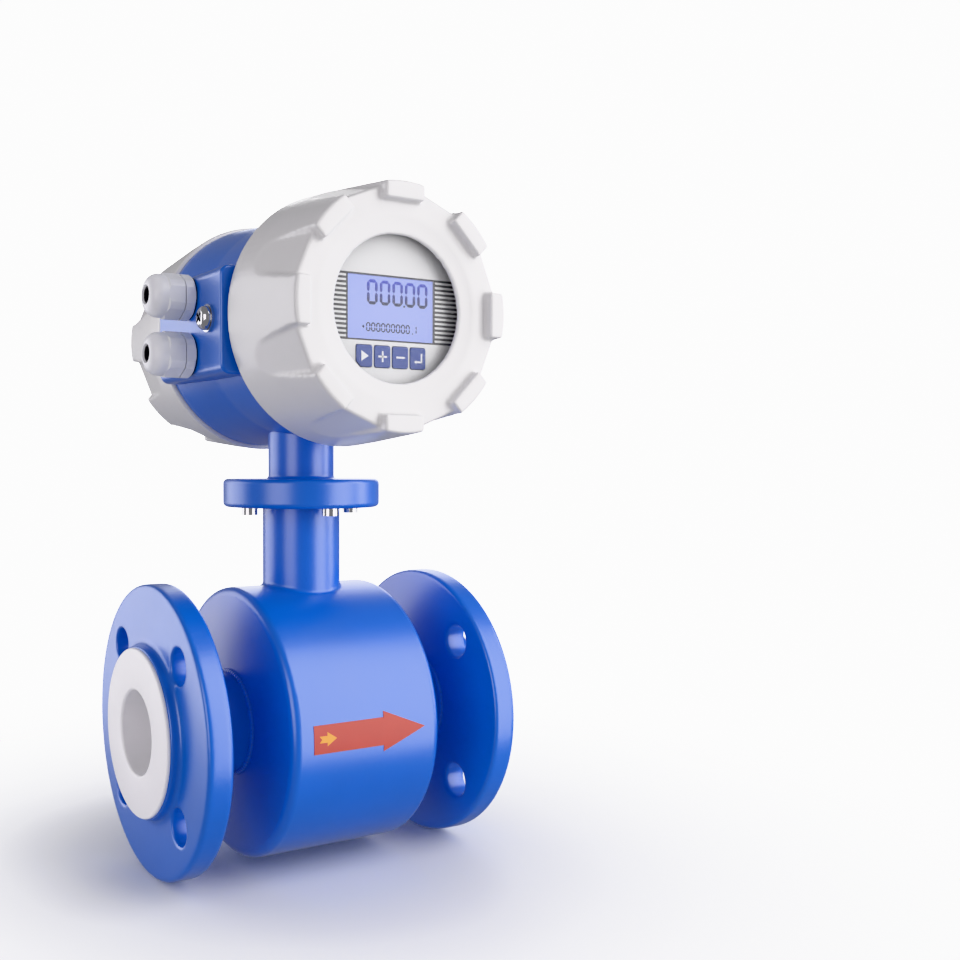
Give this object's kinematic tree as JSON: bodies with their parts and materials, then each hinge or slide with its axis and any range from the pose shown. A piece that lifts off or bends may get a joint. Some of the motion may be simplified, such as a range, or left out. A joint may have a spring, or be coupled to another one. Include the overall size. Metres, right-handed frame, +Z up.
{
  "type": "electromagnetic flow meter",
  "caption": "Flanged electromagnetic flow meter: lined measuring tube in a drum, with a round screw-lidded display head on its neck.",
  "frame": {"origin": "centre of the flow bore, half-way between the two liner faces", "axes": "+X is the flow direction, +Z runs up the neck, and the display looks towards -Y"},
  "size_m": [0.1924, 0.2076, 0.3477],
  "materials": {
    "blue_paint": "gloss",
    "light_grey_paint": "satin",
    "liner_white": "smooth",
    "stainless": "machined",
    "polished_steel": "polished",
    "soft_iron": "machined",
    "enamelled_wire": "wound",
    "insulation": "moulded",
    "rubber_black": "matte",
    "potting": "cast",
    "glass": "clear",
    "panel_grey": "satin",
    "screen_blue": "backlit",
    "key_blue": "satin",
    "case_grey": "moulded",
    "board_green": "lacquered",
    "component_black": "moulded",
    "terminal_green": "moulded",
    "nylon_grey": "moulded",
    "label_red": "printed film"
  },
  "bodies": {
    "meter": {"inlet_flange": "blue_paint", "outlet_flange": "blue_paint", "measuring_tube": "blue_paint", "liner": "liner_white", "liner_face_inlet": "liner_white", "liner_face_outlet": "liner_white", "electrode_front": "stainless", "electrode_rear": "stainless", "electrode_bushes": "insulation", "electrode_nuts": "stainless", "pole_upper": "soft_iron", "pole_lower": "soft_iron", "coil_upper": "enamelled_wire", "coil_lower": "enamelled_wire", "yoke_ring": "soft_iron", "sensor_casing": "blue_paint", "sensor_neck": "blue_paint", "sensor_flange": "blue_paint", "flow_arrow": "label_red", "neck_gasket": "rubber_black", "neck_screws": "polished_steel", "neck_plug": "potting", "converter_neck": "blue_paint", "converter_housing": "blue_paint", "module_case": "case_grey", "module_screws": "stainless", "faceplate": "panel_grey", "lcd_module": "screen_blue", "key_switches": "component_black", "display_board": "board_green", "main_board": "board_green", "power_block": "component_black", "processor": "component_black", "board_spacers": "stainless", "terminal_board": "board_green", "terminal_spacers": "stainless", "terminal_board_screws": "stainless", "terminal_block_upper": "terminal_green", "terminal_block_lower": "terminal_green", "terminal_screws": "stainless", "gland_washers": "rubber_black", "earth_washer": "polished_steel", "earth_screw": "polished_steel", "gland_body_upper": "nylon_grey", "gland_body_lower": "nylon_grey"},
    "front_seal_carrier": {"front_cover_seal": "rubber_black"},
    "front_lid": {"front_cover": "light_grey_paint", "window_ring": "light_grey_paint", "window_seal": "rubber_black", "window_glass": "glass", "window_retainer": "stainless"},
    "rear_seal_carrier": {"rear_cover_seal": "rubber_black"},
    "rear_lid": {"rear_cover": "light_grey_paint"},
    "upper_gland_sleeve": {"gland_seal_upper": "rubber_black"},
    "upper_gland_cap": {"gland_nut_upper": "nylon_grey"},
    "lower_gland_sleeve": {"gland_seal_lower": "rubber_black"},
    "lower_gland_cap": {"gland_nut_lower": "nylon_grey"},
    "scroll_key": {"key_scroll": "key_blue"},
    "plus_key": {"key_plus": "key_blue"},
    "minus_key": {"key_minus": "key_blue"},
    "enter_key": {"key_enter": "key_blue"}
  },
  "joints": [
    {"name": "front_cover_travel", "type": "slide", "parent": "meter", "child": "front_seal_carrier", "axis": [0, -1, 0], "range_m": [0, 0.01]},
    {"name": "front_cover_turn", "type": "hinge", "parent": "front_seal_carrier", "child": "front_lid", "pos_m": [0, -0.0409, 0.209], "axis": [0, -1, 0], "range_deg": [0, 1800]},
    {"name": "rear_cover_travel", "type": "slide", "parent": "meter", "child": "rear_seal_carrier", "axis": [0, 1, 0], "range_m": [0, 0.01]},
    {"name": "rear_cover_turn", "type": "hinge", "parent": "rear_seal_carrier", "child": "rear_lid", "pos_m": [0, 0.0455, 0.209], "axis": [0, 1, 0], "range_deg": [0, 1800]},
    {"name": "upper_gland_travel", "type": "slide", "parent": "meter", "child": "upper_gland_sleeve", "axis": [-1, 0, 0], "range_m": [0, 0.006]},
    {"name": "upper_gland_turn", "type": "hinge", "parent": "upper_gland_sleeve", "child": "upper_gland_cap", "pos_m": [-0.072, 0, 0.2215], "axis": [-1, 0, 0], "range_deg": [0, 1441]},
    {"name": "lower_gland_travel", "type": "slide", "parent": "meter", "child": "lower_gland_sleeve", "axis": [-1, 0, 0], "range_m": [0, 0.006]},
    {"name": "lower_gland_turn", "type": "hinge", "parent": "lower_gland_sleeve", "child": "lower_gland_cap", "pos_m": [-0.072, 0, 0.1922], "axis": [-1, 0, 0], "range_deg": [0, 1441]},
    {"name": "scroll_key_press", "type": "slide", "parent": "meter", "child": "scroll_key", "axis": [0, 1, 0], "range_m": [0, 0.0005], "stiffness_N_per_m": 800, "springref_m": -0.0005},
    {"name": "plus_key_press", "type": "slide", "parent": "meter", "child": "plus_key", "axis": [0, 1, 0], "range_m": [0, 0.0005], "stiffness_N_per_m": 800, "springref_m": -0.0005},
    {"name": "minus_key_press", "type": "slide", "parent": "meter", "child": "minus_key", "axis": [0, 1, 0], "range_m": [0, 0.0005], "stiffness_N_per_m": 800, "springref_m": -0.0005},
    {"name": "enter_key_press", "type": "slide", "parent": "meter", "child": "enter_key", "axis": [0, 1, 0], "range_m": [0, 0.0005], "stiffness_N_per_m": 800, "springref_m": -0.0005}
  ],
  "couplings": [
    {"joint": "front_cover_travel", "follows": "front_cover_turn", "m_per_rad": 0.00031831},
    {"joint": "rear_cover_travel", "follows": "rear_cover_turn", "m_per_rad": 0.00031831},
    {"joint": "upper_gland_turn", "follows": "upper_gland_travel", "rad_per_m": 4188.8},
    {"joint": "lower_gland_turn", "follows": "lower_gland_travel", "rad_per_m": 4188.8}
  ]
}
